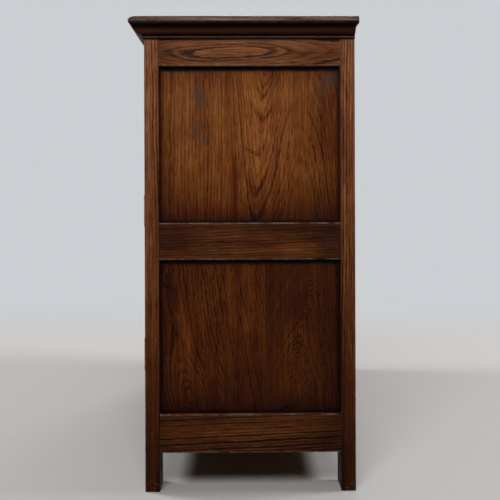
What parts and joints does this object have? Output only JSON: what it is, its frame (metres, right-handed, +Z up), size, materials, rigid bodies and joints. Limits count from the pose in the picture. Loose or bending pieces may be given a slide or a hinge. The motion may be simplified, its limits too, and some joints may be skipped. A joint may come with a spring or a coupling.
{
  "type": "sideboard",
  "caption": "Dark oak sideboard with panelled ends, drawers with bail handles over panelled cupboard doors, a shelf inside and a moulded cornice.",
  "frame": {"origin": "bottom centre of the whole sideboard, on the floor", "axes": "+X along the length to the right-hand end, -Y the front with the doors and drawers, +Z up"},
  "size_m": [1.22, 0.438, 0.91],
  "materials": {
    "leg_oak": "dark stained open-grained oak, satin",
    "rail_oak": "dark stained open-grained oak, satin",
    "panel_oak": "dark stained open-grained oak, satin",
    "front_oak": "dark stained open-grained oak, satin",
    "top_oak": "near-black stained oak, worn satin",
    "cornice_oak": "near-black stained oak, satin",
    "inside_wood": "plain oiled softwood, dull",
    "back_board": "thin plywood, dull",
    "drawer_wood": "plain oak, waxed",
    "aged_brass": "aged and rubbed",
    "catch_steel": "dull grey"
  },
  "bodies": {
    "carcass": {"right_front_leg": "leg_oak", "right_back_leg": "leg_oak", "left_front_leg": "leg_oak", "left_back_leg": "leg_oak", "right_end_top_rail": "rail_oak", "right_end_mid_rail": "rail_oak", "right_end_bottom_rail": "rail_oak", "left_end_top_rail": "rail_oak", "left_end_mid_rail": "rail_oak", "left_end_bottom_rail": "rail_oak", "right_upper_panel": "panel_oak", "right_lower_panel": "panel_oak", "left_upper_panel": "panel_oak", "left_lower_panel": "panel_oak", "front_top_rail": "front_oak", "drawer_rail": "front_oak", "front_bottom_rail": "front_oak", "centre_stile": "front_oak", "back_top_rail": "inside_wood", "back_mid_rail": "inside_wood", "back_bottom_rail": "inside_wood", "back_panel": "back_board", "cupboard_floor": "inside_wood", "shelf": "inside_wood", "shelf_battens": "inside_wood", "drawer_bearers": "inside_wood", "drawer_guides": "inside_wood", "top_board": "top_oak", "cornice_front": "cornice_oak", "cornice_right": "cornice_oak", "cornice_left": "cornice_oak", "hinge_frame_leaves": "aged_brass", "hinge_pins": "aged_brass", "catch_magnets": "catch_steel"},
    "right_drawer": {"right_drawer_front": "panel_oak", "right_drawer_sides": "drawer_wood", "right_drawer_back": "drawer_wood", "right_drawer_bottom": "drawer_wood", "right_drawer_plate": "aged_brass"},
    "right_bail": {"right_drawer_bail": "aged_brass"},
    "right_door": {"right_door_hinge_stile": "front_oak", "right_door_lock_stile": "front_oak", "right_door_rails": "front_oak", "right_door_panel": "panel_oak", "right_door_hinge_leaves": "aged_brass", "right_door_plate": "aged_brass"},
    "right_drop": {"right_door_drop": "aged_brass"},
    "left_drawer": {"left_drawer_front": "panel_oak", "left_drawer_sides": "drawer_wood", "left_drawer_back": "drawer_wood", "left_drawer_bottom": "drawer_wood", "left_drawer_plate": "aged_brass"},
    "left_bail": {"left_drawer_bail": "aged_brass"},
    "left_door": {"left_door_hinge_stile": "front_oak", "left_door_lock_stile": "front_oak", "left_door_rails": "front_oak", "left_door_panel": "panel_oak", "left_door_hinge_leaves": "aged_brass", "left_door_plate": "aged_brass"},
    "left_drop": {"left_door_drop": "aged_brass"}
  },
  "joints": [
    {"name": "right_drawer_slide", "type": "slide", "parent": "carcass", "child": "right_drawer", "axis": [0, -1, 0], "range_m": [0, 0.29]},
    {"name": "right_bail_swing", "type": "hinge", "parent": "right_drawer", "child": "right_bail", "pos_m": [0.272, -0.204, 0.7575], "axis": [-1, 0, 0], "range_deg": [0, 100]},
    {"name": "right_door_hinge", "type": "hinge", "parent": "carcass", "child": "right_door", "pos_m": [0.513, -0.1955, 0.394], "axis": [0, 0, 1], "range_deg": [0, 160]},
    {"name": "right_drop_swing", "type": "hinge", "parent": "right_door", "child": "right_drop", "pos_m": [0.063, -0.203, 0.438], "axis": [-1, 0, 0], "range_deg": [0, 100]},
    {"name": "left_drawer_slide", "type": "slide", "parent": "carcass", "child": "left_drawer", "axis": [0, -1, 0], "range_m": [0, 0.29]},
    {"name": "left_bail_swing", "type": "hinge", "parent": "left_drawer", "child": "left_bail", "pos_m": [-0.272, -0.204, 0.7575], "axis": [-1, 0, 0], "range_deg": [0, 100]},
    {"name": "left_door_hinge", "type": "hinge", "parent": "carcass", "child": "left_door", "pos_m": [-0.513, -0.1955, 0.394], "axis": [0, 0, -1], "range_deg": [0, 160]},
    {"name": "left_drop_swing", "type": "hinge", "parent": "left_door", "child": "left_drop", "pos_m": [-0.063, -0.203, 0.438], "axis": [-1, 0, 0], "range_deg": [0, 100]}
  ]
}
